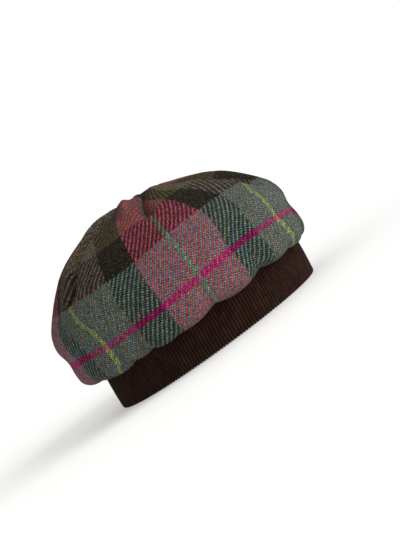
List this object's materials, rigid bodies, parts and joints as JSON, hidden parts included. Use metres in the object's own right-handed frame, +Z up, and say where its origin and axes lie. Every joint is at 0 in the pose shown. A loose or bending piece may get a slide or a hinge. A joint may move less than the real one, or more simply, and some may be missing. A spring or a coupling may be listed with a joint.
{
  "type": "tweed beret",
  "caption": "Soft tartan tweed beret whose full crown is gathered at the centre of the top and pleated into a doubled rib-knit band.",
  "frame": {"origin": "middle of the head opening, on the plane that the folded edge of the band rests on", "axes": "+Z up out of the crown, +X towards the wearer's forehead, +Y towards the wearer's left"},
  "size_m": [0.2395, 0.2175, 0.1463],
  "materials": {
    "tweed": "woollen 2/2 twill tartan in pink, dark green, teal and brown, softly felted",
    "rib_knit": "matt dark brown 1x1 rib knit"
  },
  "bodies": {
    "root": {"crown": "tweed", "rib_band": "rib_knit"}
  },
  "joints": []
}
